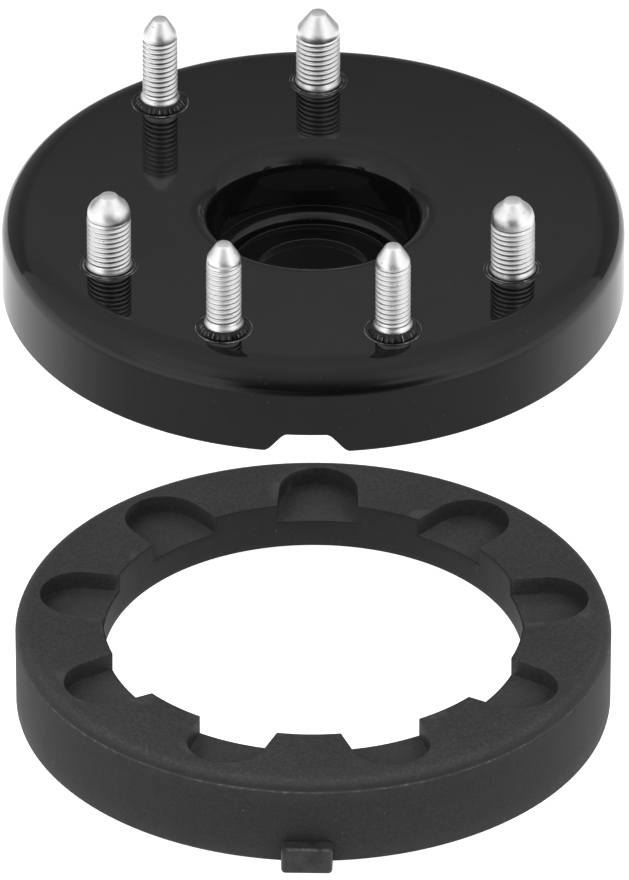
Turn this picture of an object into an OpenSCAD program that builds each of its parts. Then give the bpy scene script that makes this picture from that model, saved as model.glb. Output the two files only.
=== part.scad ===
// Upper strut mount: a deep drawn plate with six pressed-in studs, and the
// rubber spring isolator that nests under it. The isolator is drawn below the
// plate, on the same axis, at its lowered place.
// Frame: origin at the middle of the plate's top face, +Z along the studs.

/* [Mount plate] */
// Outer diameter of the plate
plate_d = 140; // [139.6:0.1:144]
// Height of the plate from its top face to the rim of its skirt
plate_h = 21.2; // [20.6:0.1:26]
// Thickness of the drawn sheet
sheet_t = 2; // [1.6:0.1:2.4]
// Outer radius of the rounded edge between the top face and the skirt
edge_r = 7.2; // [6:0.1:8]

/* [Central well] */
// Radius of the well's upper wall
well_r = 22.8; // [22.5:0.1:24.5]
// Radius of the rounded lip between the top face and the well
lip_r = 5.5; // [4.5:0.1:7]
// Depth of the step in the well
step_depth = 14.6; // [14:0.1:15.5]
// Radius of the lower cup below the step
cup_r = 18.7; // [18:0.1:19.2]
// Depth of the cup's floor
floor_depth = 17.1; // [16.8:0.1:18.5]
// Diameter of the hole for the damper rod
rod_hole_d = 25; // [20:0.1:26]

/* [Notch] */
// Width of the notch at its top
notch_top_w = 8.6; // [7:0.2:11]
// Width of the notch at the rim of the skirt
notch_rim_w = 19.6; // [18:0.2:22]
// Height of the notch above the rim
notch_h = 4.5; // [4.2:0.1:5.5]

/* [Large studs] */
// Thread diameter of the three large studs
stud_a_d = 10; // [9:0.5:11]
// Height of the large studs above the top face
stud_a_h = 18.3; // [15:0.1:22]
// Diameter of the circle on which the large studs stand
stud_a_pcd = 104.4; // [102:0.2:107]
// Diameter of the large studs' heads
head_a_d = 16; // [14:0.5:16.5]

/* [Small studs] */
// Thread diameter of the three small studs
stud_b_d = 8; // [7:0.5:9]
// Height of the small studs above the top face
stud_b_h = 22.3; // [18:0.1:26]
// Diameter of the circle on which the small studs stand
stud_b_pcd = 110.4; // [109:0.2:111]
// Diameter of the small studs' heads
head_b_d = 13.6; // [12:0.2:14]

/* [Spring isolator] */
// Outer diameter of the isolator
iso_d = 135.2; // [134:0.1:135.3]
// Height of the isolator from its rim to its top face
iso_h = 21.4; // [21:0.1:22.5]
// Bore of the isolator
iso_bore_d = 95.2; // [93:0.2:97]
// Thickness of the flange that the spring bears on
flange_t = 11; // [10:0.1:12]
// Thickness of the skirt around the spring, at its rim
rim_t = 3.2; // [3:0.1:4]
// Radius of the rounded upper edge
iso_edge_r = 4.2; // [4:0.1:5]
// Depth of the pockets
pocket_depth = 4.5; // [4:0.1:5]
// Radius of a pocket's round end
pocket_r = 9; // [8.8:0.1:9.4]
// Distance of the round end's centre from the axis
pocket_at = 54.6; // [54:0.1:55]
// Width of a pocket where it opens into the bore
pocket_mouth = 18.6; // [18:0.1:19.8]
// Width of the locating tab
tab_w = 11.6; // [10:0.1:12]
// Height of the locating tab
tab_h = 6.6; // [5:0.1:7]
// Distance that the tab stands out from the isolator
tab_out = 3.4; // [3:0.1:4]

/* [Placement] */
// Distance of the isolator's rim below the plate's top face, lowered
iso_drop = 132.5; // [60:0.5:160]

/* [Hidden] */
$fn = 96;
plate_r = plate_d / 2;
stud_a_angles = [90, 210, 330];
stud_b_angles = [130, 250, 290];
stud_a_hole = stud_a_d / 2 + 0.5;
stud_b_hole = stud_b_d / 2 + 1.1;
head_t = 3;
pocket_n = 9;
fillet = 0.8;
cup_edge_r = min(2.3, floor_depth - step_depth - 0.2);
tab_drop = 1.1;
iso_r = iso_d / 2;
iso_bore_r = iso_bore_d / 2;
groove_r = 5;
groove_at = iso_r - rim_t;
cavity_h = iso_h - flange_t;

// Rectangle from corner a to corner b
module block(a, b) {
    translate(a) square([b[0] - a[0], b[1] - a[1]]);
}

// What a rounded outer corner of radius r takes away: c is the centre of the
// round, sx and sz point from it to the corner
module corner_off(c, r, sx, sz) {
    translate(c) difference() {
        translate([sx > 0 ? 0 : -r - 1, sz > 0 ? 0 : -r - 1]) square([r + 1, r + 1]);
        circle(r = r);
    }
}

// Half section of the drawn plate
module plate_section() {
    t = sheet_t;
    low = -plate_h - 1;
    lip_at = well_r + lip_r;
    edge_at = plate_r - edge_r;
    difference() {
        block([rod_hole_d / 2, -plate_h], [plate_r, 0]);
        // rounded edge between the top face and the skirt
        corner_off([edge_at, -edge_r], edge_r, 1, 1);
        // hollow under the top face, round at both upper corners
        block([lip_at, low], [edge_at, -t]);
        block([well_r + t, low], [lip_at, -lip_r]);
        translate([lip_at, -lip_r]) circle(r = lip_r - t);
        block([edge_at, low], [plate_r - t, -edge_r]);
        translate([edge_at, -edge_r]) circle(r = edge_r - t);
        // hollow beside and below the cup
        block([cup_r + t, low], [well_r + t, -step_depth - t]);
        block([0, low], [cup_r + t, -floor_depth - t]);
        corner_off([well_r - fillet, -step_depth + fillet], fillet + t, 1, -1);
        // well down to the step, with its lip
        block([0, -step_depth], [well_r - fillet, 1]);
        block([0, -step_depth + fillet], [well_r, 1]);
        translate([well_r - fillet, -step_depth + fillet]) circle(r = fillet);
        corner_off([lip_at, -lip_r], lip_r, -1, 1);
        // cup below the step
        block([0, -floor_depth], [cup_r, -step_depth + 1]);
        corner_off([cup_r + cup_edge_r, -step_depth - cup_edge_r], cup_edge_r, -1, 1);
    }
}

// Outline of the notch, seen from the front, with its foot on the rim: its
// sides are smooth slopes from the rim to the top
function slope(s) = s * s * (3 - 2 * s);
module notch_outline() {
    n = 14;
    w0 = notch_rim_w / 2;
    w1 = notch_top_w / 2;
    side = [for (i = [0 : n]) [w0 + (w1 - w0) * i / n, notch_h * slope(i / n)]];
    translate([0, -plate_h]) polygon(concat([[w0, -2]], side,
        [for (i = [n : -1 : 0]) [-side[i][0], side[i][1]]], [[-w0, -2]]));
}

module mount_plate() {
    color([0.03, 0.03, 0.032]) difference() {
        rotate_extrude() plate_section();
        for (a = stud_a_angles) rotate(a) translate([stud_a_pcd / 2, 0, -sheet_t - 1])
            cylinder(r = stud_a_hole, h = sheet_t + 2);
        for (a = stud_b_angles) rotate(a) translate([stud_b_pcd / 2, 0, -sheet_t - 1])
            cylinder(r = stud_b_hole, h = sheet_t + 2);
        translate([0, -plate_r + sheet_t + 6, 0]) rotate([90, 0, 0])
            linear_extrude(height = sheet_t + 10) notch_outline();
    }
}

// Stud with its head under the sheet and a pointed tip: d thread, h height,
// collar radius and height, head diameter, flat of the tip, length of the tip
module stud(d, h, collar_r, collar_h, head_d, flat, tip) {
    rotate_extrude() polygon([
        [0, -sheet_t - head_t], [head_d / 2 - 0.6, -sheet_t - head_t],
        [head_d / 2, -sheet_t - head_t + 0.6], [head_d / 2, -sheet_t],
        [collar_r, -sheet_t], [collar_r, collar_h - 0.4],
        [collar_r - 0.4, collar_h], [d / 2, collar_h],
        [d / 2, h - tip], [flat / 2 + 0.3, h - 0.3], [flat / 2, h], [0, h]]);
}

module studs_m10() {
    color([0.82, 0.82, 0.83]) for (a = stud_a_angles)
        rotate(a) translate([stud_a_pcd / 2, 0, 0])
            stud(stud_a_d, stud_a_h, stud_a_hole - 0.03, 0, head_a_d, 3.6, 4.2);
}

module studs_m8() {
    color([0.82, 0.82, 0.83]) for (a = stud_b_angles)
        rotate(a) translate([stud_b_pcd / 2, 0, 0])
            stud(stud_b_d, stud_b_h, stud_b_hole - 0.03, 1.8, head_b_d, 2.9, 3.6);
}

// Half section of the isolator, rim at zero
module iso_section() {
    difference() {
        block([iso_bore_r, 0], [iso_r, iso_h]);
        // groove in which the spring's end coil lies
        block([iso_bore_r - 1, -1], [groove_at - groove_r, cavity_h]);
        block([groove_at - groove_r, -1], [groove_at, cavity_h - groove_r]);
        translate([groove_at - groove_r, cavity_h - groove_r]) circle(r = groove_r);
        // rounded upper edge
        difference() {
            block([iso_r - iso_edge_r, iso_h - iso_edge_r], [iso_r + 1, iso_h + 1]);
            translate([iso_r - iso_edge_r, iso_h - iso_edge_r]) circle(r = iso_edge_r);
        }
    }
}

// Outline of one pocket, pointing along +X and open to the bore
module pocket_outline() {
    x0 = iso_bore_r - 4;
    w0 = pocket_mouth / 2 + 0.35;
    translate([pocket_at, 0]) circle(r = pocket_r);
    polygon([[x0, -w0], [pocket_at, -pocket_r], [pocket_at, pocket_r], [x0, w0]]);
}

module spring_isolator() {
    color([0.06, 0.06, 0.062]) translate([0, 0, -iso_drop]) {
        difference() {
            rotate_extrude() iso_section();
            for (i = [0 : pocket_n - 1]) rotate(90 + i * 360 / pocket_n)
                translate([0, 0, iso_h - pocket_depth])
                    linear_extrude(height = pocket_depth + 1) pocket_outline();
        }
        // locating tab
        translate([-tab_w / 2, -iso_r - tab_out, -tab_drop])
            cube([tab_w, tab_out + 1.6, tab_h]);
    }
}

mount_plate();
studs_m10();
studs_m8();
spring_isolator();
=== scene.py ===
import math

import bpy
import bmesh
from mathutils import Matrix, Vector


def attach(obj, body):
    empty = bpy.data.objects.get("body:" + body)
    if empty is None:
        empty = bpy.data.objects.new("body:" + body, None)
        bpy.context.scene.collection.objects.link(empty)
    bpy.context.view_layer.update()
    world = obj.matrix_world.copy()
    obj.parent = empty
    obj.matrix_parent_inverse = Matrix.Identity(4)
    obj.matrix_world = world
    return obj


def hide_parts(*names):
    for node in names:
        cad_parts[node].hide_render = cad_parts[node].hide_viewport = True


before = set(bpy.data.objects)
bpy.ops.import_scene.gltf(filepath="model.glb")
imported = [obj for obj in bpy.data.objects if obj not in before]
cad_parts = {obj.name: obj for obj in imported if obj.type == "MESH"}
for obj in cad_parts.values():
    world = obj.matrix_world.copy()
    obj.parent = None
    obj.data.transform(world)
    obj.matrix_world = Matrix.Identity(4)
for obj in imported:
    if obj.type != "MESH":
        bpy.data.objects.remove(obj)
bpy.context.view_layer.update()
MM = 0.001
TAU = 2 * math.pi

# ---------------------------------------------------------------- dimensions
# The same numbers as the part's own construction, in millimetres.
PLATE_R, PLATE_H, SHEET, EDGE_R = 70.0, 21.2, 2.0, 7.2
WELL_R, LIP_R, STEP_Z, CUP_R, FLOOR_Z, HOLE_R = 22.8, 5.5, 14.6, 18.7, 17.1, 12.5
CUP_EDGE = 2.3
NOTCH_TOP, NOTCH_RIM, NOTCH_H = 8.6, 19.6, 4.5
A_PCD, A_H, A_ANGLES = 104.4, 18.3, (90, 210, 330)
B_PCD, B_H, B_ANGLES = 110.4, 22.3, (130, 250, 290)
ISO_R, ISO_H, ISO_BORE, FLANGE = 67.6, 21.4, 47.6, 11.0
POCKET_D, POCKET_R, POCKET_MOUTH = 4.5, 9.0, 18.6
ISO_Z = -132.5   # height of the isolator's rim
PARTING = 2.6    # parting line below the isolator's top face


# ---------------------------------------------------------------- mesh tools
def make(name, verts, faces, smooth=True):
    """Mesh object from millimetre points."""
    me = bpy.data.meshes.new(name)
    me.from_pydata([(x * MM, y * MM, z * MM) for x, y, z in verts], [], faces)
    me.validate()
    me.update()
    if smooth:
        me.polygons.foreach_set("use_smooth", [True] * len(me.polygons))
    ob = bpy.data.objects.new(name, me)
    bpy.context.scene.collection.objects.link(ob)
    return ob


def recalc(ob):
    bm = bmesh.new()
    bm.from_mesh(ob.data)
    bmesh.ops.remove_doubles(bm, verts=bm.verts, dist=1e-6)
    bmesh.ops.recalc_face_normals(bm, faces=bm.faces)
    bm.to_mesh(ob.data)
    bm.free()
    ob.data.update()


def apply_all(ob):
    """Turns the object's modifiers into its mesh."""
    dg = bpy.context.evaluated_depsgraph_get()
    me = bpy.data.meshes.new_from_object(ob.evaluated_get(dg), preserve_all_data_layers=True, depsgraph=dg)
    old = ob.data
    ob.modifiers.clear()
    ob.data = me
    bpy.data.meshes.remove(old)


def sharp(ob, degrees):
    """Smooth shading, with hard edges above an angle."""
    ob.data.polygons.foreach_set("use_smooth", [True] * len(ob.data.polygons))
    bm = bmesh.new()
    bm.from_mesh(ob.data)
    lim = math.radians(degrees)
    for e in bm.edges:
        if len(e.link_faces) == 2:
            e.smooth = e.calc_face_angle(0) < lim
    bm.to_mesh(ob.data)
    bm.free()


def arc(cx, cz, r, a0, a1, n):
    return [(cx + r * math.cos(math.radians(a0 + (a1 - a0) * i / n)),
             cz + r * math.sin(math.radians(a0 + (a1 - a0) * i / n))) for i in range(n + 1)]


def rnd(*k):
    """Repeatable value from 0 to 1 for a set of whole numbers."""
    h = 2166136261
    for x in k:
        h = ((h ^ (int(x) & 0xFFFFFFFF)) * 16777619) & 0xFFFFFFFF
        h ^= h >> 13
    return (h % 100003) / 100003.0


# ---------------------------------------------------------------- materials
def new_mat(name):
    m = bpy.data.materials.new(name)
    m.use_nodes = True
    nt = m.node_tree
    bsdf = nt.nodes["Principled BSDF"]
    return m, nt, bsdf


def ramp(nt, fac, stops):
    r = nt.nodes.new("ShaderNodeValToRGB")
    el = r.color_ramp.elements
    while len(el) < len(stops):
        el.new(0.5)
    for e, (p, c) in zip(el, stops):
        e.position = p
        e.color = (c, c, c, 1) if isinstance(c, (int, float)) else (*c, 1)
    nt.links.new(fac, r.inputs["Fac"])
    return r.outputs["Color"]


def noise(nt, coord, scale, detail=3.0, rough=0.5, dist=0.0):
    n = nt.nodes.new("ShaderNodeTexNoise")
    n.inputs["Scale"].default_value = scale
    n.inputs["Detail"].default_value = detail
    n.inputs["Roughness"].default_value = rough
    n.inputs["Distortion"].default_value = dist
    nt.links.new(coord, n.inputs["Vector"])
    return n.outputs["Fac"]


def bump(nt, height, strength, distance, normal=None):
    b = nt.nodes.new("ShaderNodeBump")
    b.inputs["Strength"].default_value = strength
    b.inputs["Distance"].default_value = distance
    nt.links.new(height, b.inputs["Height"])
    if normal is not None:
        nt.links.new(normal, b.inputs["Normal"])
    return b.outputs["Normal"]


def coords(nt):
    return nt.nodes.new("ShaderNodeTexCoord").outputs["Object"]


def mth(nt, op, a, b=None, c=None):
    """Math node on sockets or numbers."""
    n = nt.nodes.new("ShaderNodeMath")
    n.operation = op
    for i, x in enumerate((a, b, c)):
        if x is None:
            continue
        if isinstance(x, (int, float)):
            n.inputs[i].default_value = x
        else:
            nt.links.new(x, n.inputs[i])
    return n.outputs[0]


def span(nt, value, a0, a1, b0, b1):
    """Value moved from one range to another, clamped."""
    n = nt.nodes.new("ShaderNodeMapRange")
    n.inputs["From Min"].default_value = a0
    n.inputs["From Max"].default_value = a1
    n.inputs["To Min"].default_value = b0
    n.inputs["To Max"].default_value = b1
    nt.links.new(value, n.inputs["Value"])
    return n.outputs["Result"]


def blend(nt, fac, a, b, kind="MIX"):
    """Two colours, mixed by fac."""
    m = nt.nodes.new("ShaderNodeMix")
    m.data_type = "RGBA"
    m.blend_type = kind
    for sock, x in ((m.inputs["Factor"], fac), (m.inputs[6], a), (m.inputs[7], b)):
        if isinstance(x, (int, float)):
            sock.default_value = x
        elif isinstance(x, tuple):
            sock.default_value = (*x, 1)
        else:
            nt.links.new(x, sock)
    return m.outputs[2]


def mat_paint():
    """Gloss black paint on drawn steel: slow waviness, dust and hairline scratches."""
    m, nt, b = new_mat("black_paint")
    co = coords(nt)
    cloud = noise(nt, co, 38.0, 4.0, 0.55)
    col = ramp(nt, cloud, [(0.3, (0.0030, 0.0030, 0.0031)), (0.75, (0.0052, 0.0052, 0.0054))])
    # specks of dust
    dust = ramp(nt, noise(nt, co, 1100.0, 2.0, 0.5), [(0.735, 0.0), (0.76, 1.0)])
    col = blend(nt, dust, col, (0.030, 0.030, 0.031))
    nt.links.new(col, b.inputs["Base Color"])
    # hairlines: a stretched noise, thresholded to a few thin lines
    mp = nt.nodes.new("ShaderNodeMapping")
    mp.inputs["Scale"].default_value = (14.0, 150.0, 60.0)
    mp.inputs["Rotation"].default_value = (0.0, 0.0, 0.5)
    nt.links.new(co, mp.inputs["Vector"])
    hair = noise(nt, mp.outputs["Vector"], 1.0, 5.0, 0.6, 1.2)
    lines = ramp(nt, hair, [(0.494, 0.0), (0.5, 1.0), (0.506, 0.0)])
    rough = span(nt, cloud, 0.3, 0.75, 0.05, 0.09)
    nt.links.new(mth(nt, "MULTIPLY_ADD", lines, 0.06, rough), b.inputs["Roughness"])
    peel = noise(nt, co, 150.0, 2.0, 0.5)
    nt.links.new(bump(nt, peel, 0.014, 0.0004), b.inputs["Normal"])
    b.inputs["IOR"].default_value = 1.38
    return m


def mat_zinc():
    """Bright zinc plating: satin, slightly cloudy, with small dark pits."""
    m, nt, b = new_mat("zinc_steel")
    co = coords(nt)
    b.inputs["Metallic"].default_value = 1.0
    cloud = noise(nt, co, 420.0, 4.0, 0.6)
    col = ramp(nt, cloud, [(0.25, (0.81, 0.81, 0.81)), (0.75, (0.91, 0.91, 0.91))])
    pits = ramp(nt, noise(nt, co, 1500.0, 2.0, 0.6), [(0.27, 1.0), (0.31, 0.0)])
    col = blend(nt, pits, col, (0.30, 0.30, 0.295))
    # painted shade: the lower, downward-facing flanks of the thread are darkened
    up = nt.nodes.new("ShaderNodeSeparateXYZ")
    nt.links.new(nt.nodes.new("ShaderNodeNewGeometry").outputs["Normal"], up.inputs[0])
    col = blend(nt, span(nt, up.outputs[2], -0.45, -0.10, 0.88, 0.0), col, (0.06, 0.06, 0.06))
    nt.links.new(col, b.inputs["Base Color"])
    nt.links.new(span(nt, cloud, 0.3, 0.7, 0.30, 0.44), b.inputs["Roughness"])
    grain = noise(nt, co, 2600.0, 2.0, 0.5)
    nt.links.new(bump(nt, grain, 0.05, 0.00005), b.inputs["Normal"])
    return m


def mat_rubber():
    """Moulded black rubber: matte, with fine speckle, pale flecks and worn edges; painted shade on its walls, bore,
    creases and parting line, painted light on the pocket floors, and a painted highlight on the rubbed edges.
    """
    m, nt, b = new_mat("rubber")
    co = coords(nt)
    xyz = nt.nodes.new("ShaderNodeSeparateXYZ")
    nt.links.new(co, xyz.inputs[0])
    x, y, z = xyz.outputs
    rad = mth(nt, "SQRT", mth(nt, "ADD", mth(nt, "MULTIPLY", x, x), mth(nt, "MULTIPLY", y, y)))
    cloud = noise(nt, co, 55.0, 5.0, 0.6)
    speck = noise(nt, co, 1500.0, 3.0, 0.65)
    col = ramp(nt, cloud, [(0.3, (0.045, 0.045, 0.0455)), (0.72, (0.057, 0.057, 0.0575))])
    col = blend(nt, 1.0, col, ramp(nt, speck, [(0.30, 0.70), (0.55, 1.0), (0.76, 1.5)]), "MULTIPLY")
    outer = span(nt, rad, 0.0662, 0.0666, 0.0, 1.0)
    line = (ISO_Z + ISO_H - PARTING) * MM
    # painted shade: the outer wall below the parting line is darker than the top
    side = mth(nt, "MULTIPLY", outer, span(nt, z, line - 0.0004, line, 1.0, 0.0))
    col = blend(nt, mth(nt, "MULTIPLY", side, 0.68), col, (0.0, 0.0, 0.0))
    # painted shade: the bore wall is darkened
    bore = span(nt, rad, ISO_BORE * MM + 0.0001, ISO_BORE * MM + 0.0004, 1.0, 0.0)
    col = blend(nt, mth(nt, "MULTIPLY", bore, 0.78), col, (0.0, 0.0, 0.0))
    # painted light lifts the pocket floors, and painted shade darkens them towards their outer ends
    low = span(nt, z, (ISO_Z + ISO_H - POCKET_D) * MM + 0.0001, (ISO_Z + ISO_H - POCKET_D) * MM + 0.0004, 1.0, 0.0)
    low = mth(nt, "MULTIPLY", low, mth(nt, "MULTIPLY", mth(nt, "SUBTRACT", 1.0, outer), mth(nt, "SUBTRACT", 1.0, bore)))
    col = blend(nt, mth(nt, "MULTIPLY", low, 0.012), col, (1.0, 1.0, 1.0))
    col = blend(nt, mth(nt, "MULTIPLY", low, span(nt, rad, 0.050, 0.060, 0.0, 0.16)), col, (0.0, 0.0, 0.0))
    # painted shade: the pocket walls and the sides of the teeth are darkened where they face sideways
    up = nt.nodes.new("ShaderNodeSeparateXYZ")
    nt.links.new(nt.nodes.new("ShaderNodeNewGeometry").outputs["Normal"], up.inputs[0])
    wall = mth(nt, "MULTIPLY", span(nt, rad, 0.0640, 0.0644, 1.0, 0.0), mth(nt, "SUBTRACT", 1.0, bore))
    wall = mth(nt, "MULTIPLY", wall, span(nt, up.outputs[2], 0.3, 0.7, 0.42, 0.0))
    col = blend(nt, mth(nt, "MULTIPLY", wall, span(nt, z, (ISO_Z + ISO_H - POCKET_D) * MM, (ISO_Z + ISO_H - POCKET_D) * MM + 0.0003, 0.0, 1.0)), col, (0.0, 0.0, 0.0))
    # painted shade: a dark band just above the parting line
    parting_shade_band = mth(nt, "MULTIPLY", span(nt, z, line - 0.0001, line + 0.0002, 0.0, 1.0), span(nt, z, line + 0.0010, line + 0.0022, 1.0, 0.0))
    parting_shade_band = mth(nt, "MULTIPLY", mth(nt, "MULTIPLY", parting_shade_band, span(nt, rad, 0.0652, 0.0662, 0.0, 1.0)), 0.72)
    col = blend(nt, parting_shade_band, col, (0.008, 0.008, 0.008))
    # pale flecks where the flash was trimmed off
    near = span(nt, mth(nt, "ABSOLUTE", mth(nt, "SUBTRACT", z, line - 0.00016)), 0.00012, 0.00026, 1.0, 0.0)
    fleck = mth(nt, "MULTIPLY", mth(nt, "MULTIPLY", near, outer), ramp(nt, noise(nt, co, 420.0, 4.0, 0.7), [(0.50, 0.0), (0.70, 1.0)]))
    # worn outline of the tab
    ax = mth(nt, "ABSOLUTE", x)
    tz0, tz1 = (ISO_Z - 1.1) * MM, (ISO_Z + 5.5) * MM
    edge = mth(nt, "MAXIMUM", span(nt, ax, 0.00535, 0.0056, 0.0, 1.0), mth(nt, "MAXIMUM", span(nt, z, tz1 - 0.0006, tz1 - 0.0003, 0.0, 1.0), span(nt, z, tz0 + 0.0007, tz0 + 0.0004, 0.0, 1.0)))
    face = span(nt, y, -0.0703, -0.0699, 1.0, 0.0)
    edge = mth(nt, "MULTIPLY", mth(nt, "MULTIPLY", edge, face), ramp(nt, noise(nt, co, 500.0, 4.0, 0.7), [(0.36, 0.0), (0.62, 1.0)]))
    pale = ramp(nt, noise(nt, co, 800.0, 2.0, 0.6), [(0.735, 0.0), (0.77, 0.8)])
    wear = mth(nt, "MAXIMUM", mth(nt, "MAXIMUM", fleck, edge), pale)
    # rubbed edges of the pockets and teeth, lighter, partly wear and partly a painted highlight; painted shade in the
    # creases round the pockets' floors
    point = nt.nodes.new("ShaderNodeNewGeometry").outputs["Pointiness"]
    rub_and_highlight = mth(nt, "MULTIPLY", span(nt, point, 0.508, 0.57, 0.0, 0.42), ramp(nt, noise(nt, co, 300.0, 3.0, 0.6), [(0.32, 0.15), (0.62, 1.0)]))
    col = blend(nt, span(nt, point, 0.40, 0.485, 0.42, 0.0), col, (0.0, 0.0, 0.0))
    wear = mth(nt, "MAXIMUM", wear, mth(nt, "MULTIPLY", rub_and_highlight, mth(nt, "SUBTRACT", 1.0, bore)))
    col = blend(nt, mth(nt, "MULTIPLY", wear, 0.75), col, (0.13, 0.13, 0.128))
    nt.links.new(col, b.inputs["Base Color"])
    nt.links.new(span(nt, cloud, 0.0, 1.0, 0.54, 0.72), b.inputs["Roughness"])
    fine = noise(nt, co, 2200.0, 3.0, 0.6)
    wide = noise(nt, co, 160.0, 3.0, 0.5)
    n1 = bump(nt, wide, 0.10, 0.0006)
    nt.links.new(bump(nt, fine, 0.16, 0.00012, n1), b.inputs["Normal"])
    b.inputs["IOR"].default_value = 1.30
    return m


def mat_worn():
    """Edges where the paint is rubbed through: patchy grey metal."""
    m, nt, b = new_mat("worn_edge")
    co = coords(nt)
    patch = noise(nt, co, 330.0, 4.0, 0.65)
    nt.links.new(ramp(nt, patch, [(0.38, (0.012, 0.012, 0.012)), (0.50, (0.10, 0.10, 0.10)), (0.66, (0.36, 0.36, 0.355))]), b.inputs["Base Color"])
    nt.links.new(span(nt, patch, 0.3, 0.7, 0.30, 0.5), b.inputs["Roughness"])
    b.inputs["Metallic"].default_value = 0.35
    nt.links.new(bump(nt, noise(nt, co, 2400.0, 2.0, 0.5), 0.1, 0.00006), b.inputs["Normal"])
    return m


PAINT, ZINC, RUBBER, WORN = mat_paint(), mat_zinc(), mat_rubber(), mat_worn()


# ---------------------------------------------------------------- mount plate
def notch_up(x):
    """Height of the rim above its lowest level at a distance x from the notch's middle."""
    w0, w1 = NOTCH_RIM / 2, NOTCH_TOP / 2
    a = abs(x)
    if a >= w0:
        return 0.0
    if a <= w1:
        return NOTCH_H
    s = (w0 - a) / (w0 - w1)
    return NOTCH_H * s * s * (3 - 2 * s)


def build_plate():
    """The drawn sheet, turned from its section. The lowest rows follow the notch."""
    q = 0.3  # rounding of the trimmed rim
    f, g = 0.12, CUP_EDGE
    # upper side, from the hole's edge out to the rim; rows close to the corners keep the flats flat
    up = [(HOLE_R, -FLOOR_Z - SHEET + 0.5), (HOLE_R, -FLOOR_Z - 0.4)] + arc(HOLE_R + 0.25, -FLOOR_Z - 0.25, 0.25, 180, 90, 5)
    up += [(HOLE_R + 0.4, -FLOOR_Z), (CUP_R - 0.35, -FLOOR_Z)]
    up += arc(CUP_R - 0.2, -FLOOR_Z + 0.2, 0.2, -90, 0, 4)
    up += arc(CUP_R + g, -STEP_Z - g, g, 180, 90, 22) + [(CUP_R + g + 0.15, -STEP_Z), (WELL_R - f - 0.15, -STEP_Z)]
    up += arc(WELL_R - f, -STEP_Z + f, f, -90, 0, 4) + [(WELL_R, -STEP_Z + f + 0.2), (WELL_R, -LIP_R - 0.3)]
    up += arc(WELL_R + LIP_R, -LIP_R, LIP_R, 180, 90, 36)
    up += [(WELL_R + LIP_R + 4 + 3.6 * i, 0.0) for i in range(8)]
    up += arc(PLATE_R - EDGE_R, -EDGE_R, EDGE_R, 90, 0, 32)
    # under side, from the rim back to the hole's edge
    dn = arc(PLATE_R - EDGE_R, -EDGE_R, EDGE_R - SHEET, 0, 90, 16)
    dn += arc(WELL_R + LIP_R, -LIP_R, LIP_R - SHEET, 90, 180, 12)
    dn += arc(WELL_R - f, -STEP_Z + f, f + SHEET, 0, -90, 10)
    dn += arc(CUP_R + SHEET + 0.8, -STEP_Z - SHEET - 0.8, 0.8, 90, 180, 5)
    dn += arc(CUP_R + SHEET - 1.2, -FLOOR_Z - SHEET + 1.2, 1.2, 0, -90, 6)
    dn += arc(HOLE_R + 0.35, -FLOOR_Z - SHEET + 0.35, 0.35, -90, -180, 4)
    # columns, closer together round the notch
    ang = []
    a = 0.0
    while a < 360.0 - 1e-6:
        ang.append(a)
        a += 0.25 if 260.5 <= a < 279.5 else 1.0
    rows_out = 8
    verts, faces, cols = [], [], []
    for a in ang:
        ca, sa = math.cos(math.radians(a)), math.sin(math.radians(a))
        off = a - 270.0
        zb = -PLATE_H + (notch_up(PLATE_R * math.sin(math.radians(off))) if abs(off) < 15 else 0.0)
        prof = list(up)
        prof += [(PLATE_R, -EDGE_R + (zb + q + EDGE_R) * (i / rows_out)) for i in range(1, rows_out)] + [(PLATE_R, zb + q + 0.12)]
        prof += arc(PLATE_R - q, zb + q, q, 0, -90, 4)
        prof += arc(PLATE_R - SHEET + q, zb + q, q, -90, -180, 4)
        prof += [(PLATE_R - SHEET, zb + q + (-EDGE_R - zb - q) * (i / rows_out)) for i in range(1, rows_out)]
        prof += dn
        base = len(verts)
        verts += [(r * ca, r * sa, z) for r, z in prof]
        cols.append((base, len(prof)))
    n = cols[0][1]
    for j in range(len(cols)):
        b0, b1 = cols[j][0], cols[(j + 1) % len(cols)][0]
        for i in range(n):
            k = (i + 1) % n
            faces.append((b0 + i, b0 + k, b1 + k, b1 + i))
    ob = make("mount_plate_drawn", verts, faces)
    recalc(ob)
    sharp(ob, 50)
    ob.data.materials.append(PAINT)
    return ob


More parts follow.
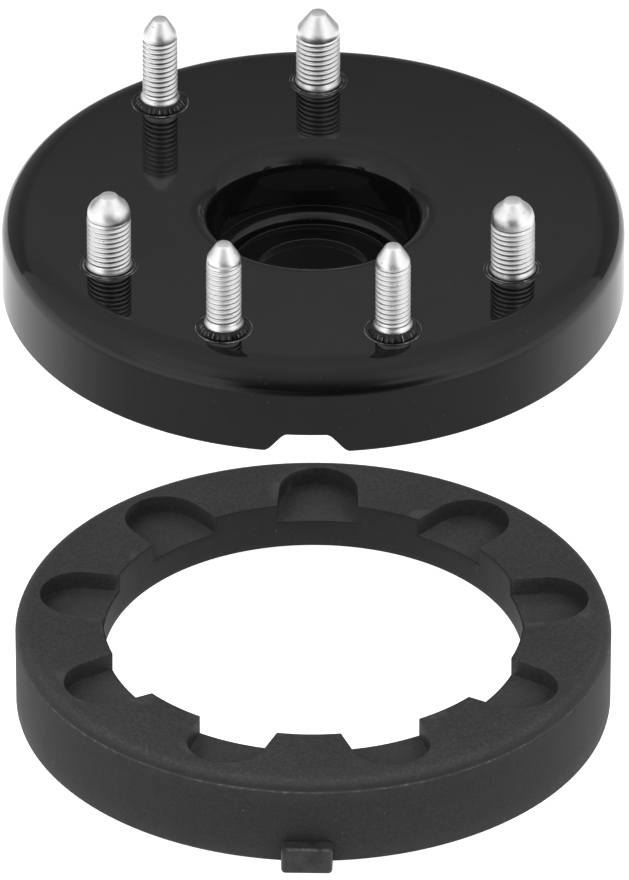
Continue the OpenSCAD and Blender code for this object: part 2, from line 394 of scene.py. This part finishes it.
def build_marks():
    """Ring of paint and swaged metal round each stud, and the black knurled collar of the small studs."""
    verts, faces = [], []

    def ring(cx, cy, prof, seg=72, knurl=None):
        base = len(verts)
        n = len(prof)
        for s in range(seg):
            t = TAU * s / seg
            for r, z in prof:
                rr = r + (knurl(s, r, z) if knurl else 0.0)
                verts.append((cx + rr * math.cos(t), cy + rr * math.sin(t), z))
        for s in range(seg):
            b0, b1 = base + s * n, base + ((s + 1) % seg) * n
            for i in range(n):
                k = (i + 1) % n
                faces.append((b0 + i, b1 + i, b1 + k, b0 + k))

    for a in A_ANGLES:
        x, y = A_PCD / 2 * math.cos(math.radians(a)), A_PCD / 2 * math.sin(math.radians(a))
        prof = [(5.5, -0.3), (5.5, 0.05)] + arc(5.76, 0.08, 0.14, 180, 0, 6) + [(6.0, 0.02), (6.28, 0.02)] + arc(6.4, 0.03, 0.07, 180, 0, 4) + [(6.55, -0.3)]
        ring(x, y, prof, 96)
    for a in B_ANGLES:
        x, y = B_PCD / 2 * math.cos(math.radians(a)), B_PCD / 2 * math.sin(math.radians(a))
        prof = [(5.3, -0.3), (5.3, 0.05), (5.9, 0.05)] + arc(6.2, 0.03, 0.10, 180, 0, 5) + [(6.4, 0.02), (6.6, -0.3)]
        ring(x, y, prof, 96)
        # collar: cone with pressed ribs, its ribs blurred by the paint

        def ribs(s, r, z):
            if r < 4.4 or z < -0.1:
                return 0.0
            k = s % 4
            return (0.16, 0.02, -0.12, 0.02)[k] * (0.75 + 0.5 * rnd(a, s // 4, 3))
        prof = [(4.1, -0.4), (4.1, 1.42), (4.35, 1.55), (4.62, 1.42), (5.02, 0.92), (5.32, 0.42), (5.45, 0.15), (5.5, -0.4)]
        ring(x, y, prof, 112, ribs)
    ob = make("stud_seats", verts, faces)
    recalc(ob)
    sharp(ob, 42)
    ob.data.materials.append(PAINT)
    return ob


def build_wear():
    """Rubbed rings in the paint round the studs, and rubbed ribs on the collars of the small studs."""
    verts, faces = [], []

    def tube(cx, cy, r, t, lift, seg=96):
        prof = [(r - t, -0.15)] + arc(r, lift, t, 180, 0, 6) + [(r + t, -0.15)]
        base, n = len(verts), len(prof)
        for s in range(seg):
            a = TAU * s / seg
            for q, z in prof:
                verts.append((cx + q * math.cos(a), cy + q * math.sin(a), z))
        for s in range(seg):
            b0, b1 = base + s * n, base + ((s + 1) % seg) * n
            for i in range(n):
                k = (i + 1) % n
                faces.append((b0 + i, b1 + i, b1 + k, b0 + k))

    def bar(cx, cy, a, w, rows):
        """Thin bar down the collar's cone."""
        base = len(verts)
        ca, sa = math.cos(a), math.sin(a)
        for r, z in rows:
            for dr, dw in ((-0.25, -w), (0.0, -w * 0.6), (0.0, w * 0.6), (-0.25, w)):
                verts.append((cx + (r + dr) * ca - dw * sa, cy + (r + dr) * sa + dw * ca, z))
        for i in range(len(rows) - 1):
            for k in range(4):
                k1 = (k + 1) % 4
                faces.append((base + 4 * i + k, base + 4 * i + k1, base + 4 * i + 4 + k1, base + 4 * i + 4 + k))
        faces.append(tuple(base + k for k in range(4)))
        faces.append(tuple(base + 4 * (len(rows) - 1) + k for k in reversed(range(4))))

    for a in A_ANGLES:
        x, y = A_PCD / 2 * math.cos(math.radians(a)), A_PCD / 2 * math.sin(math.radians(a))
        tube(x, y, 5.78, 0.17, 0.08)
        tube(x, y, 6.46, 0.08, 0.03)
    for a in B_ANGLES:
        x, y = B_PCD / 2 * math.cos(math.radians(a)), B_PCD / 2 * math.sin(math.radians(a))
        tube(x, y, 6.32, 0.11, 0.05)
        for k in range(28):
            t = TAU * k * 4 / 112 + 0.01 * (rnd(a, k, 1) - 0.5)
            z0, z1 = 1.40 - 0.5 * rnd(a, k, 5), 0.10 + 0.45 * rnd(a, k, 9)
            rows = [(4.62 + (5.45 - 4.62) * ((1.42 - z) / 1.27) ** 0.8 + 0.20, z) for z in (z0, (z0 + z1) / 2, z1)]
            if rnd(a, k, 2) > 0.2:
                bar(x, y, t, 0.07 + 0.07 * rnd(a, k, 4), rows)
    ob = make("seat_wear", verts, faces)
    recalc(ob)
    sharp(ob, 50)
    ob.data.materials.append(WORN)
    return ob


# ---------------------------------------------------------------- studs
def build_studs(name, pcd, angles, d, h, tips, flare, z_thread, head_d, pitch=1.25):
    """Studs with a rolled thread, pointed tip, smooth flare at the foot and a flat head under the sheet."""
    verts, faces = [], []
    seg = 72
    depth = 0.45
    r_out = d / 2
    for si, a in enumerate(angles):
        cx, cy = pcd / 2 * math.cos(math.radians(a)), pcd / 2 * math.sin(math.radians(a))
        tip = tips[si]
        z_top = h - tip[-1][1]
        rows = []  # (z, base radius or None for the thread)
        rows.append((-SHEET - 3.0, 0.0))
        rows.append((-SHEET - 3.0, head_d / 2 - 0.5))
        rows.append((-SHEET - 2.85, head_d / 2 - 0.15))
        rows.append((-SHEET - 2.5, head_d / 2))
        rows.append((-SHEET - 0.35, head_d / 2))
        rows.append((-SHEET - 0.05, head_d / 2 - 0.25))
        rows.append((-SHEET, flare[0][0]))
        for r, z in flare:
            rows.append((z, r))
        n_turn = 14
        count = int(round((z_top - z_thread) / pitch * n_turn))
        for i in range(count + 1):
            rows.append((z_thread + (z_top - z_thread) * i / count, None))
        for r, dz in reversed(tip[:-1]):
            rows.append((h - dz, r))
        rows.append((h, 0.0))
        base = len(verts)
        turn0 = rnd(si, int(d), 7)
        for z, r in rows:
            for s in range(seg):
                t = TAU * s / seg
                if r is None:
                    ph = (z / pitch - s / seg + turn0) % 1.0
                    tri = abs(ph - 0.5) * 2.0                      # 1 at the crest, 0 at the root
                    prof = min(1.0, max(0.0, (tri - 0.10) / 0.72))
                    prof = prof * prof * (3 - 2 * prof)
                    fade = min(1.0, (z - z_thread) / 0.9, (z_top - z) / 1.1)
                    fade = max(0.0, fade)
                    rr = r_out - 0.04 - depth * (1 - prof) * fade - 0.10 * (1 - fade)
                else:
                    rr = r
                verts.append((cx + rr * math.cos(t), cy + rr * math.sin(t), z))
        for i in range(len(rows) - 1):
            for s in range(seg):
                s1 = (s + 1) % seg
                b0, b1 = base + i * seg, base + (i + 1) * seg
                faces.append((b0 + s, b0 + s1, b1 + s1, b1 + s))
    ob = make(name, verts, faces)
    recalc(ob)
    sharp(ob, 55)
    ob.data.materials.append(ZINC)
    return ob


# tip profiles: (radius, distance below the end)
CONE_A = [(1.60, 0.0), (1.85, 0.09), (2.08, 0.36), (4.40, 3.45), (4.72, 3.95), (4.86, 4.5), (4.86, 5.1)]
DOME_A = [(1.72, 0.0), (1.96, 0.09), (2.16, 0.34), (2.72, 0.98), (3.08, 1.32), (3.50, 1.72), (4.02, 2.22), (4.42, 2.85), (4.70, 3.6), (4.86, 4.4), (4.86, 5.1)]
CONE_B = [(1.42, 0.0), (1.66, 0.08), (1.88, 0.32), (3.20, 2.50), (3.55, 3.05), (3.76, 3.6), (3.86, 4.2)]
FLARE_A = [(4.95, -SHEET + 0.05), (4.95, 0.12), (5.22, 0.22), (5.24, 0.40), (5.05, 0.95), (4.86, 1.35)]
FLARE_B = [(3.9, -SHEET + 0.05), (3.9, 1.3), (4.42, 1.50), (4.46, 1.66), (4.18, 2.2), (3.86, 2.65)]


# ---------------------------------------------------------------- spring isolator
def build_isolator():
    """Moulded ring: nine sectors, each with a pocket, meshed along the pocket's outline."""
    verts, faces = [], []
    index = {}

    def v(x, y, z):
        k = (round(x, 4), round(y, 4), round(z, 4))
        if k not in index:
            index[k] = len(verts)
            verts.append((x, y, z))
        return index[k]

    def rot(p, a):
        c, s = math.cos(a), math.sin(a)
        return (p[0] * c - p[1] * s, p[0] * s + p[1] * c)

    top, flo = ISO_H, ISO_H - POCKET_D
    r_flat = 64.2            # outer edge of the flat top
    half = math.radians(20)
    # pocket outline from the lower mouth corner round to the upper one, pointing along +X
    pr, pat = POCKET_R, 54.1
    n_side, n_end = 7, 26
    # mouth corner on the bore
    ym = POCKET_MOUTH / 2
    xm = math.sqrt(ISO_BORE ** 2 - ym ** 2)
    outline = []
    for i in range(n_side):
        t = i / n_side
        outline.append((xm + (pat - xm) * t, -(ym + (pr - ym) * t)))
    for i in range(n_end + 1):
        a = -math.pi / 2 + math.pi * i / n_end
        outline.append((pat + pr * math.cos(a), pr * math.sin(a)))
    for i in range(n_side - 1, -1, -1):
        t = i / n_side
        outline.append((xm + (pat - xm) * t, ym + (pr - ym) * t))
    m = len(outline)
    # matching points on the sector's border: up one side, along the outer edge, down the other
    border = []
    n_rad = n_side + 4
    for i in range(n_rad):
        r = ISO_BORE + (r_flat - ISO_BORE) * i / n_rad
        border.append((r * math.cos(-half), r * math.sin(-half)))
    n_arc = m - 2 * n_rad - 1
    for i in range(n_arc + 1):
        a = -half + 2 * half * i / n_arc
        border.append((r_flat * math.cos(a), r_flat * math.sin(a)))
    for i in range(n_rad - 1, -1, -1):
        r = ISO_BORE + (r_flat - ISO_BORE) * i / n_rad
        border.append((r * math.cos(half), r * math.sin(half)))
    n_s = 4
    am = math.atan2(ym, xm)
    arc_angles = [-half + 2 * half * i / n_arc for i in range(n_arc)]
    n_fl = 12   # steps across a pocket's floor
    n_tooth = n_s

    def top_point(i, s):
        """Point of the flat top between outline point i and its border point."""
        if i in (0, m - 1):
            sg = -1 if i == 0 else 1
            a = sg * (am + (half - am) * s)
            return (ISO_BORE * math.cos(a), ISO_BORE * math.sin(a))
        p, b = outline[i], border[i]
        return (p[0] + (b[0] - p[0]) * s, p[1] + (b[1] - p[1]) * s)

    for sec in range(9):
        base = math.radians(90 + 40 * sec)

        def V(p, z):
            x, y = rot(p, base)
            return v(x, y, z)

        # flat top
        for i in range(m - 1):
            for k in range(n_s):
                s0, s1 = k / n_s, (k + 1) / n_s
                faces.append((V(top_point(i, s0), top), V(top_point(i, s1), top), V(top_point(i + 1, s1), top), V(top_point(i + 1, s0), top)))
        # pocket wall
        zs = [top, top - 1.5, top - 3.0, flo]
        for i in range(m - 1):
            for z0, z1 in zip(zs, zs[1:]):
                faces.append((V(outline[i], z0), V(outline[i + 1], z0), V(outline[i + 1], z1), V(outline[i], z1)))
        # pocket floor: arcs across from side to side
        mid = m // 2

        def floor_point(i, u):
            p = outline[i]
            if i == mid:
                return p
            r, a = math.hypot(*p), math.atan2(p[1], p[0])
            aa = a * (1 - 2 * u)
            return (r * math.cos(aa), r * math.sin(aa))

        for i in range(mid):
            for k in range(n_fl):
                u0, u1 = k / n_fl, (k + 1) / n_fl
                if i + 1 == mid:
                    faces.append((V(floor_point(i, u0), flo), V(outline[mid], flo), V(floor_point(i, u1), flo)))
                else:
                    faces.append((V(floor_point(i, u0), flo), V(floor_point(i + 1, u0), flo), V(floor_point(i + 1, u1), flo), V(floor_point(i, u1), flo)))
        # bore: teeth, then the full wall below the pockets
        for sg in (-1, 1):
            for k in range(n_tooth):
                a0 = sg * (am + (half - am) * k / n_tooth)
                a1 = sg * (am + (half - am) * (k + 1) / n_tooth)
                p0, p1 = (ISO_BORE * math.cos(a0), ISO_BORE * math.sin(a0)), (ISO_BORE * math.cos(a1), ISO_BORE * math.sin(a1))
                for z0, z1 in zip(zs, zs[1:]):
                    faces.append((V(p0, z0), V(p1, z0), V(p1, z1), V(p0, z1)))
        angles = [-(am + (half - am) * k / n_tooth) for k in range(n_tooth, 0, -1)]
        angles += [-am * (1 - 2 * k / n_fl) for k in range(n_fl + 1)]
        angles += [(am + (half - am) * k / n_tooth) for k in range(1, n_tooth + 1)]
        low = ISO_H - FLANGE
        zb = [flo, flo - 2.0, low + 2.0, low]
        for a0, a1 in zip(angles, angles[1:]):
            p0, p1 = (ISO_BORE * math.cos(a0), ISO_BORE * math.sin(a0)), (ISO_BORE * math.cos(a1), ISO_BORE * math.sin(a1))
            for z0, z1 in zip(zb, zb[1:]):
                faces.append((V(p0, z0), V(p1, z0), V(p1, z1), V(p0, z1)))
        # under side of the flange, from the bore's columns to the outer columns
        outer = [-half + 2 * half * i / n_arc for i in range(n_arc + 1)]
        r_in, r_mid = ISO_BORE, ISO_BORE + 2.0
        for a0, a1 in zip(angles, angles[1:]):
            q = [(r_in * math.cos(a0), r_in * math.sin(a0)), (r_in * math.cos(a1), r_in * math.sin(a1)),
                 (r_mid * math.cos(a1), r_mid * math.sin(a1)), (r_mid * math.cos(a0), r_mid * math.sin(a0))]
            faces.append(tuple(V(p, low) for p in q))
        # fan between the two sets of columns
        i = j = 0
        r2 = r_mid + 2.5
        A, B = angles, outer
        while i < len(A) - 1 or j < len(B) - 1:
            pa = (r_mid * math.cos(A[i]), r_mid * math.sin(A[i]))
            pb = (r2 * math.cos(B[j]), r2 * math.sin(B[j]))
            if j == len(B) - 1 or (i < len(A) - 1 and A[i + 1] <= B[j + 1]):
                pn = (r_mid * math.cos(A[i + 1]), r_mid * math.sin(A[i + 1]))
                faces.append((V(pa, low), V(pn, low), V(pb, low)))
                i += 1
            else:
                pn = (r2 * math.cos(B[j + 1]), r2 * math.sin(B[j + 1]))
                faces.append((V(pa, low), V(pn, low), V(pb, low)))
                j += 1
        # outside: rounded edge, parting line, wall, rim, groove
        prof = [(r_flat, top)]
        for k in range(1, 11):
            t = math.pi / 2 * k / 10
            prof.append((r_flat + (ISO_R - 0.3 - r_flat) * math.sin(t), top - (PARTING - 0.1) * (1 - math.cos(t))))
        prof += [(ISO_R - 0.08, top - PARTING - 0.12), (ISO_R - 0.04, top - PARTING - 0.4)]
        prof += [(ISO_R - 0.04 - 0.12 * t, (top - PARTING - 0.4) * (1 - t) + 0.6 * t) for t in (0.25, 0.5, 0.75, 1.0)]
        prof += [(ISO_R - 0.25, 0.22), (ISO_R - 0.7, 0.0), (65.2, 0.0), (64.65, 0.18), (64.4, 0.6), (64.4, 3.0), (64.4, 6.2)]
        prof += arc(59.4, low - 5.0, 5.0, 0, 90, 8)[1:]
        prof += [(56.0, low), (r2, low)]
        for a0, a1 in zip(outer, outer[1:]):
            for (ra, za), (rb, zb2) in zip(prof, prof[1:]):
                faces.append((V((ra * math.cos(a0), ra * math.sin(a0)), za), V((ra * math.cos(a1), ra * math.sin(a1)), za),
                              V((rb * math.cos(a1), rb * math.sin(a1)), zb2), V((rb * math.cos(a0), rb * math.sin(a0)), zb2)))
    faces = [tuple(dict.fromkeys(f)) for f in faces]
    faces = [f for f in faces if len(f) >= 3]
    ob = make("isolator_ring", [(x, y, z + ISO_Z) for x, y, z in verts], faces)
    recalc(ob)
    bev = ob.modifiers.new("edges", "BEVEL")
    bev.width = 0.55 * MM
    bev.segments = 3
    bev.limit_method = "ANGLE"
    bev.angle_limit = math.radians(50)
    bev.use_clamp_overlap = True
    bev.harden_normals = False
    apply_all(ob)
    return ob


def build_tab():
    """Locating tab at the front of the rim, with rounded corners."""
    w, out, z0, z1 = 11.6, 3.4, -1.1, 5.5
    bm = bmesh.new()
    bmesh.ops.create_cube(bm, size=1.0)
    y0, y1 = -(ISO_R + out), -(ISO_R - 1.2)
    for p in bm.verts:
        p.co = Vector(((p.co.x) * w, (y0 + y1) / 2 + p.co.y * (y1 - y0), (z0 + z1) / 2 + p.co.z * (z1 - z0))) * MM
        p.co.z += ISO_Z * MM
    me = bpy.data.meshes.new("tab")
    bm.to_mesh(me)
    bm.free()
    ob = bpy.data.objects.new("isolator_tab", me)
    bpy.context.scene.collection.objects.link(ob)
    bev = ob.modifiers.new("edges", "BEVEL")
    bev.width = 1.0 * MM
    bev.segments = 4
    apply_all(ob)
    return ob


def join(name, obs):
    """One object from several meshes."""
    bm = bmesh.new()
    for o in obs:
        bm.from_mesh(o.data)
    me = bpy.data.meshes.new(name)
    bm.to_mesh(me)
    bm.free()
    for o in obs:
        old = o.data
        bpy.data.objects.remove(o)
        bpy.data.meshes.remove(old)
    ob = bpy.data.objects.new(name, me)
    bpy.context.scene.collection.objects.link(ob)
    return ob


plate = build_plate()
seats = build_marks()
wear = build_wear()
studs_a = build_studs("studs_m10_threaded", A_PCD, A_ANGLES, 10.0, A_H, (CONE_A, DOME_A, DOME_A), FLARE_A, 1.35, 16.0)
studs_b = build_studs("studs_m8_threaded", B_PCD, B_ANGLES, 8.0, B_H, (CONE_B, CONE_B, CONE_B), FLARE_B, 2.65, 13.6)
isolator = join("spring_isolator_moulded", [build_isolator(), build_tab()])
sharp(isolator, 40)
isolator.data.materials.append(RUBBER)

for ob, body, cad, slot in ((plate, "plate", "mount_plate", "black_paint"), (studs_a, "plate", "studs_m10", "zinc_steel"),
                            (studs_b, "plate", "studs_m8", "zinc_steel"), (isolator, "isolator", "spring_isolator", "rubber")):
    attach(ob, body)
    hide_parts(cad)
for ob, slot in ((seats, "black_paint"), (wear, "zinc_steel")):
    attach(ob, "plate")

# ---------------------------------------------------------------- stage, light and camera
floor_z = (ISO_Z - 1.12) * MM
PIT_X, PIT_Y, PIT_R, PIT_N = -3.8, 179.3, 18.0, 64


def pit_ring(r, z, dx=0.0, dy=0.0):
    return [(PIT_X + dx + r * math.cos(TAU * i / PIT_N), PIT_Y + dy + r * math.sin(TAU * i / PIT_N), z) for i in range(PIT_N)]


def rings(n):
    return [(i, (i + 1) % n, n + (i + 1) % n, n + i) for i in range(n)]


fl = make("floor", pit_ring(PIT_R, floor_z / MM) + pit_ring(5000.0, floor_z / MM), rings(PIT_N), False)
fm, nt, b = new_mat("floor")
fc = noise(nt, coords(nt), 6.0, 3.0)
nt.links.new(ramp(nt, fc, [(0.3, 0.89), (0.7, 0.92)]), b.inputs["Base Color"])
b.inputs["Roughness"].default_value = 0.9
b.inputs["Specular IOR Level"].default_value = 0.1
# painted light: the floor glows, most strongly under and round the parts, so their shadows on it wash out
b.inputs["Emission Color"].default_value = (1, 1, 1, 1)
fx = nt.nodes.new("ShaderNodeSeparateXYZ")
nt.links.new(coords(nt), fx.inputs[0])
fr = mth(nt, "SQRT", mth(nt, "ADD", mth(nt, "MULTIPLY", fx.outputs[0], fx.outputs[0]), mth(nt, "MULTIPLY", fx.outputs[1], fx.outputs[1])))
nt.links.new(ramp(nt, span(nt, fr, 0.0, 0.20, 0.0, 1.0), [(0.0, 0.70), (0.13, 0.80), (0.20, 1.0), (0.30, 1.05), (0.42, 0.55), (1.0, 0.36)]), b.inputs["Emission Strength"])
fl.data.materials.append(fm)


def card(name, pts, material, seen):
    """Flat studio card, in millimetres."""
    o = make(name, pts, [tuple(range(len(pts)))], False)
    o.data.materials.append(material)
    o.visible_camera = seen
    return o


def only_reflected(o):
    """Leaves a card visible in reflections only."""
    o.visible_camera = o.visible_diffuse = o.visible_shadow = False


# A slanting pit in the floor behind, seen by the camera only: its black bottom is painted shade that shows through the
# rod hole, and its walls glow, painted light as pale as the floor.
bm_, nt, b = new_mat("pit_shade_card")
nt.links.new(ramp(nt, noise(nt, coords(nt), 40.0, 3.0), [(0.3, 0.005), (0.7, 0.008)]), b.inputs["Base Color"])
b.inputs["Roughness"].default_value = 0.95
b.inputs["Specular IOR Level"].default_value = 0.0
zf = floor_z / MM
PIT_H = 150.0
pit_dx, pit_dy = -PIT_H / math.tan(math.radians(32.8)) * math.sin(math.radians(1.2)), PIT_H / math.tan(math.radians(32.8)) * math.cos(math.radians(1.2))
pit = make("pit_walls", pit_ring(PIT_R, zf) + pit_ring(PIT_R, zf - PIT_H, pit_dx, pit_dy), rings(PIT_N), False)
pm = bpy.data.materials.new("pit_walls")
pm.use_nodes = True
nt = pm.node_tree
nt.nodes.clear()
em = nt.nodes.new("ShaderNodeEmission")
em.inputs["Color"].default_value = (1.3, 1.3, 1.3, 1)
nt.links.new(em.outputs[0], nt.nodes.new("ShaderNodeOutputMaterial").inputs["Surface"])
pit.data.materials.append(pm)
for o in (pit, card("pit_bottom", pit_ring(PIT_R + 0.5, zf - PIT_H, pit_dx, pit_dy), bm_, True)):
    o.visible_diffuse = o.visible_glossy = o.visible_shadow = False


def sector(r0, r1, half, n=48):
    """Ring sector about the front, in millimetres."""
    a = [math.radians(-90 - half + 2 * half * i / n) for i in range(n + 1)]
    return [(r0 * math.cos(t), r0 * math.sin(t)) for t in a] + [(r1 * math.cos(t), r1 * math.sin(t)) for t in reversed(a)]



def soft_mat(name, level, mask):
    """Light of an even level that fades out by a mask."""
    m = bpy.data.materials.new(name)
    m.use_nodes = True
    nt = m.node_tree
    nt.nodes.clear()
    xyz = nt.nodes.new("ShaderNodeSeparateXYZ")
    nt.links.new(coords(nt), xyz.inputs[0])
    em = nt.nodes.new("ShaderNodeEmission")
    em.inputs["Color"].default_value = (level, level, level, 1)
    mix = nt.nodes.new("ShaderNodeMixShader")
    nt.links.new(mask(nt, *xyz.outputs), mix.inputs[0])
    nt.links.new(nt.nodes.new("ShaderNodeBsdfTransparent").outputs[0], mix.inputs[1])
    nt.links.new(em.outputs[0], mix.inputs[2])
    out = nt.nodes.new("ShaderNodeOutputMaterial")
    nt.links.new(mix.outputs[0], out.inputs["Surface"])
    return m


def smooth(nt, value, a0, a1, b0, b1):
    r = span(nt, value, a0, a1, b0, b1)
    r.node.interpolation_type = "SMOOTHSTEP"
    return r


# A dim card under the hole, which the well shows.
def hole_mask(nt, x, y, z):
    rad = mth(nt, "SQRT", mth(nt, "ADD", mth(nt, "MULTIPLY", x, x), mth(nt, "MULTIPLY", y, y)))
    return smooth(nt, rad, 0.026, 0.030, 1.0, 0.0)


only_reflected(card("flag_hole", [(30 * math.cos(TAU * i / 48), 30 * math.sin(TAU * i / 48), -20.6) for i in range(48)], soft_mat("flag_hole", 0.12, hole_mask), False))


# Grey card on the floor in front, which the skirt shows: full in the middle, gone at the sides.
def front_mask(nt, x, y, z):
    side = mth(nt, "ABSOLUTE", mth(nt, "ARCTAN2", x, mth(nt, "MULTIPLY", y, -1.0)))
    return smooth(nt, side, 1.05, 1.9, 1.0, 0.0)


only_reflected(card("card_low", [(x, y, zf + 0.6) for x, y in sector(200, 420, 112, 96)], soft_mat("card_low", 0.76, front_mask), False))


def far_mask(nt, x, y, z):
    side = mth(nt, "ABSOLUTE", mth(nt, "ARCTAN2", mth(nt, "SUBTRACT", x, 0.05), mth(nt, "MULTIPLY", y, -1.0)))
    return smooth(nt, side, 0.26, 0.66, 1.0, 0.0)


only_reflected(card("card_far", [(x, y, zf + 0.6) for x, y in sector(420.5, 2500, 44, 48)], soft_mat("card_far", 0.50, far_mask), False))


def panel(name, centre, aim, w, h, level, soft):
    """Soft-edged panel facing a point, shown in reflections only. Metres."""
    def mask(nt, x, y, z):
        fx = smooth(nt, mth(nt, "ABSOLUTE", x), w / 2 * (1 - soft), w / 2, 1.0, 0.0)
        fy = smooth(nt, mth(nt, "ABSOLUTE", y), h / 2 * (1 - soft), h / 2, 1.0, 0.0)
        return mth(nt, "MULTIPLY", fx, fy)
    x, y = w / 2 / MM, h / 2 / MM
    o = card(name, [(-x, -y, 0), (x, -y, 0), (x, y, 0), (-x, y, 0)], soft_mat(name, level, mask), False)
    o.location = centre
    o.rotation_euler = (Vector(aim) - Vector(centre)).to_track_quat("-Z", "Y").to_euler()
    only_reflected(o)
    return o


panel("panel_left", (-0.95, -0.74, 0.68), (0, 0, 0), 1.45, 1.65, 1.30, 0.8)
panel("panel_right", (0.95, -0.74, 0.68), (0, 0, 0), 1.45, 1.65, 1.30, 0.8)
panel("panel_left_low", (-0.72, -0.74, 0.10), (0, 0, 0), 0.95, 0.50, 1.45, 0.6)
panel("panel_right_low", (0.72, -0.74, 0.10), (0, 0, 0), 0.95, 0.50, 1.45, 0.6)
panel("flag_front", (0.093, -0.30, -0.028), (0.093, 0, -0.028), 0.528, 0.18, 0.004, 0.8)

# Pale wall behind, brighter towards its top.
wm = bpy.data.materials.new("wall")
wm.use_nodes = True
nt = wm.node_tree
nt.nodes.clear()
xyz = nt.nodes.new("ShaderNodeSeparateXYZ")
nt.links.new(coords(nt), xyz.inputs[0])
em = nt.nodes.new("ShaderNodeEmission")
out = nt.nodes.new("ShaderNodeOutputMaterial")
lift = ramp(nt, span(nt, xyz.outputs[2], 0.30, 1.50, 0.0, 1.0), [(0.0, 0.30), (0.05, 0.37), (0.08, 0.50), (0.115, 0.56), (0.5, 0.72), (1.0, 0.95)])
nt.links.new(lift, em.inputs["Color"])
em.inputs["Strength"].default_value = 1.0
nt.links.new(em.outputs[0], out.inputs["Surface"])
card("wall", [(-1100, 620, zf), (1100, 620, zf), (1100, 620, 1500), (-1100, 620, 1500)], wm, False)


def area(name, loc, target, sx, sy, radiance):
    """Soft box of the given size, shining at the target."""
    l = bpy.data.lights.new(name, "AREA")
    l.shape = "RECTANGLE"
    l.size, l.size_y = sx, sy
    l.energy = radiance * math.pi * sx * sy
    o = bpy.data.objects.new(name, l)
    bpy.context.scene.collection.objects.link(o)
    o.location = loc
    o.rotation_euler = (Vector(target) - Vector(loc)).to_track_quat("-Z", "Y").to_euler()
    o.visible_glossy = False
    return o


area("soft_left", (-0.80, -0.80, 0.66), (0, 0, -0.07), 1.05, 1.15, 1.45)
area("soft_right", (0.80, -0.80, 0.80), (0, 0, -0.07), 1.05, 0.95, 1.45)

# The rest of the room: bright overhead, dim behind, dark low down in front.
world = bpy.data.worlds.new("studio")
bpy.context.scene.world = world
world.use_nodes = True
nt = world.node_tree
bg = nt.nodes["Background"]
sep = nt.nodes.new("ShaderNodeSeparateXYZ")
nt.links.new(nt.nodes.new("ShaderNodeTexCoord").outputs["Generated"], sep.inputs[0])
sky = ramp(nt, span(nt, sep.outputs[1], -1.0, 1.0, 0.0, 1.0), [(0.0, 0.06), (0.03, 0.10), (0.07, 0.34), (0.13, 0.62), (0.4, 0.92), (0.55, 0.90), (0.72, 0.68), (0.92, 0.42), (1.0, 0.34)])
nt.links.new(sky, bg.inputs["Color"])
bg.inputs["Strength"].default_value = 1.15

D, ELEV, AZ = 7.0, 32.8, 1.2
target = Vector((0.00027, 0, -0.0629))
e, az = math.radians(ELEV), math.radians(AZ)
cam = bpy.data.cameras.new("camera")
co = bpy.data.objects.new("camera", cam)
bpy.context.scene.collection.objects.link(co)
away = Vector((math.sin(az) * math.cos(e), -math.cos(az) * math.cos(e), math.sin(e)))
co.location = target + away * D
co.rotation_euler = (-away).to_track_quat("-Z", "Y").to_euler()
cam.sensor_fit = "VERTICAL"
cam.sensor_height = 24.0
cam.lens = 24.0 * D / (880 / 310.1 * 0.070)
cam.clip_end = 50.0
bpy.context.scene.camera = co
vs = bpy.context.scene.view_settings
vs.view_transform = "Standard"
vs.look = "None"
